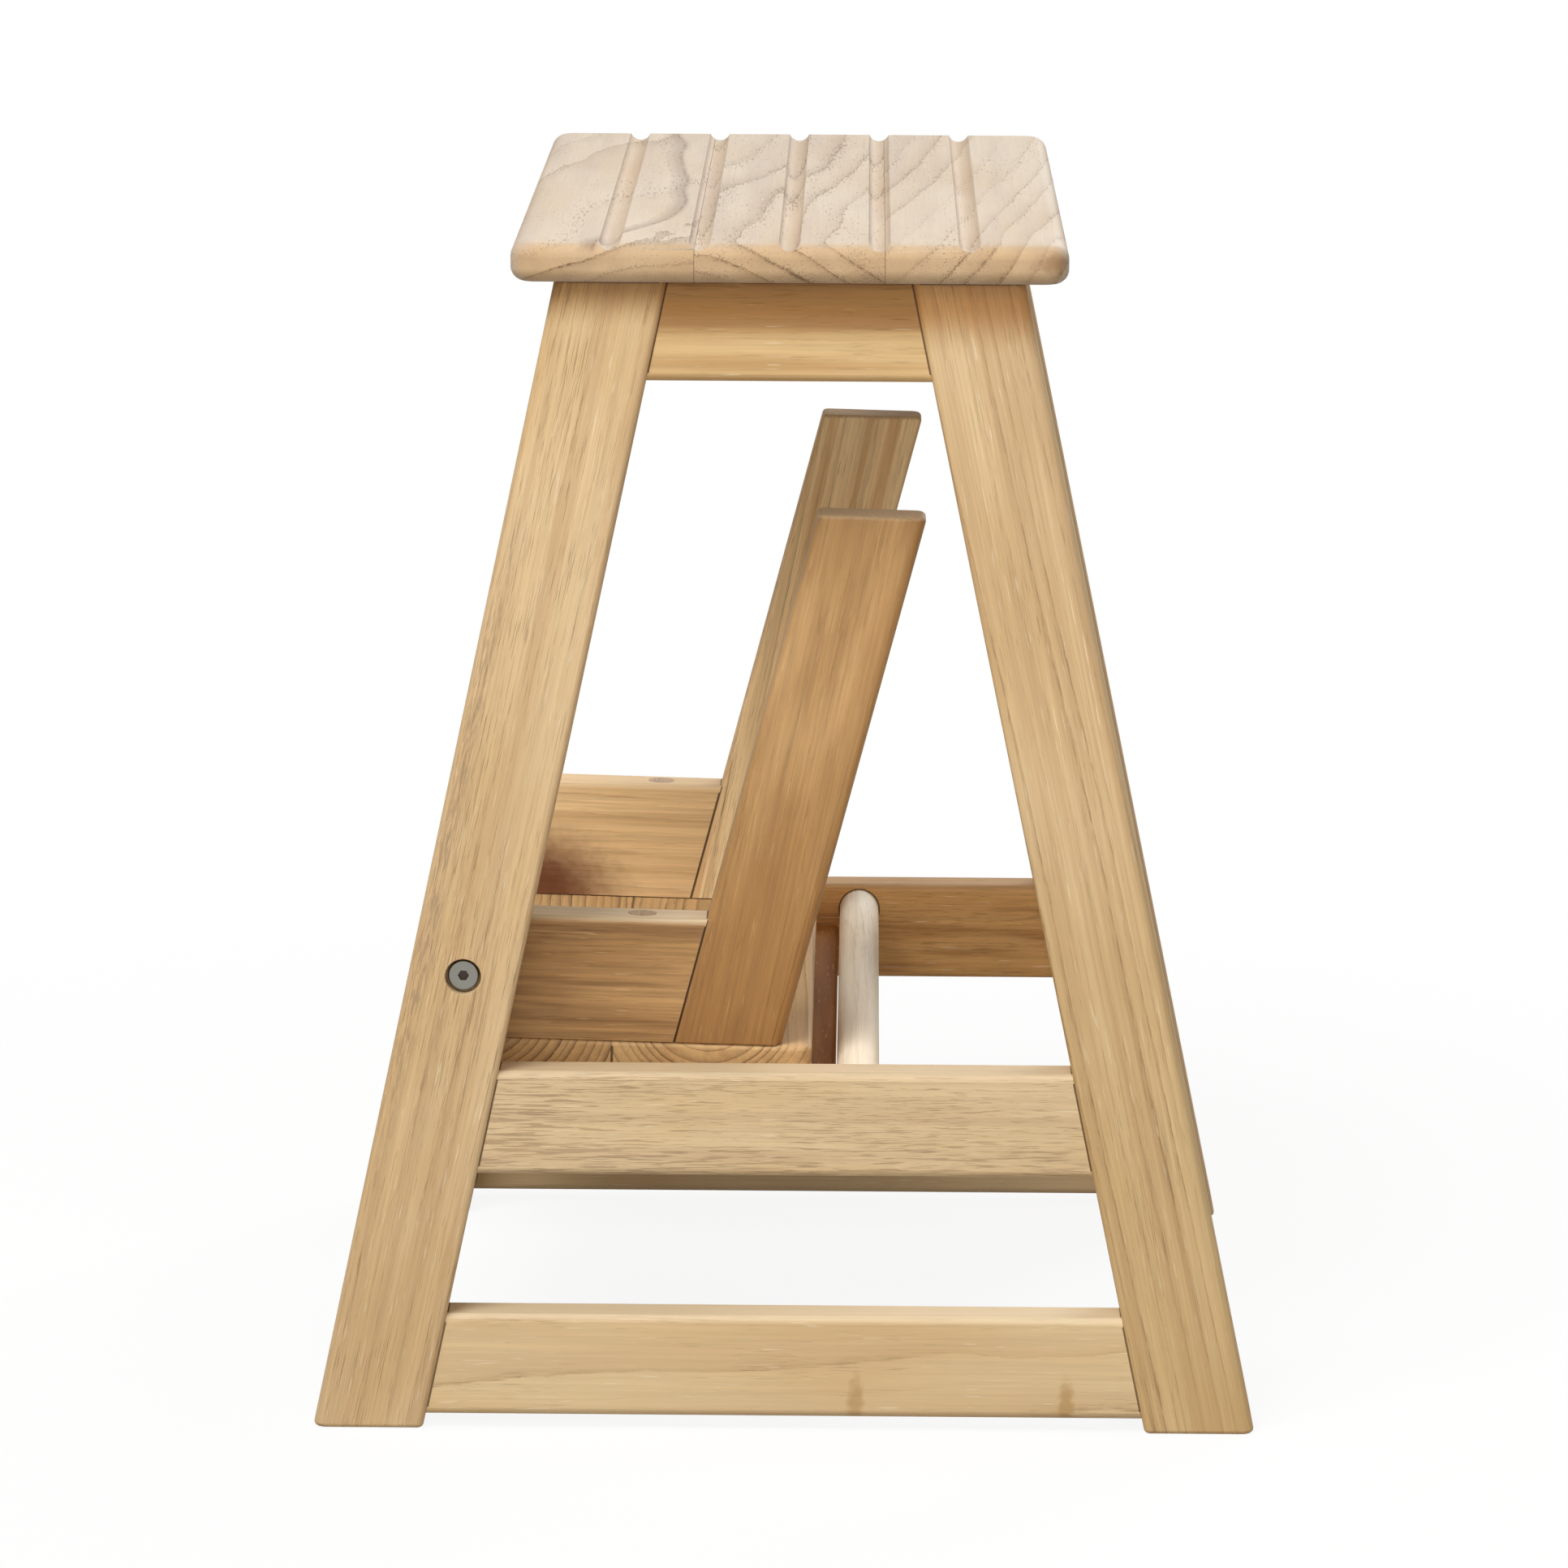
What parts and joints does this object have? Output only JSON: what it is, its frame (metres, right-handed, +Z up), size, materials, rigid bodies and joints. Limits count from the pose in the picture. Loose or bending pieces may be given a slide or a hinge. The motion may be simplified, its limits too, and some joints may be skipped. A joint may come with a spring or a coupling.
{
  "type": "folding step stool",
  "caption": "Solid wood stool with a grooved seat on A-shaped side frames; a grooved step with its own legs swings out from between them and folds back upside down.",
  "frame": {"origin": "on the floor, in the middle of the four feet of the side frames", "axes": "+Z up; -X to the front, where the step swings out; -Y to the left side, with the step's hinge axis along Y"},
  "size_m": [0.393, 0.426, 0.5],
  "materials": {
    "seat_wood": "sanded, bare",
    "frame_wood": "sanded, bare",
    "step_wood": "sanded, bare",
    "plug_wood": "sanded, bare",
    "bolt_steel": "satin",
    "screw_steel": "satin",
    "insert_brass": "plain"
  },
  "bodies": {
    "frame": {"seat_board_front": "seat_wood", "seat_board_middle": "seat_wood", "seat_board_back": "seat_wood", "left_front_leg": "frame_wood", "right_front_leg": "frame_wood", "left_back_leg": "frame_wood", "right_back_leg": "frame_wood", "left_top_rail": "frame_wood", "right_top_rail": "frame_wood", "left_mid_rail": "frame_wood", "right_mid_rail": "frame_wood", "left_bottom_rail": "frame_wood", "right_bottom_rail": "frame_wood", "flat_stretcher": "frame_wood", "dowel_stretcher": "frame_wood", "seat_screws": "screw_steel", "seat_dowels": "frame_wood"},
    "step": {"tread_board_outer": "step_wood", "tread_board_inner": "step_wood", "left_side_bar": "step_wood", "right_side_bar": "step_wood", "left_step_leg": "step_wood", "right_step_leg": "step_wood", "left_pivot_bolt": "bolt_steel", "right_pivot_bolt": "bolt_steel", "left_pivot_washer": "bolt_steel", "right_pivot_washer": "bolt_steel", "left_threaded_insert": "insert_brass", "right_threaded_insert": "insert_brass", "tread_screws": "screw_steel", "screw_plugs": "plug_wood", "step_dowels": "step_wood"}
  },
  "joints": [
    {"name": "step_swing", "type": "hinge", "parent": "frame", "child": "step", "pos_m": [-0.13348, 0, 0.1935], "axis": [0, -1, 0], "range_deg": [0, 182.4]}
  ]
}
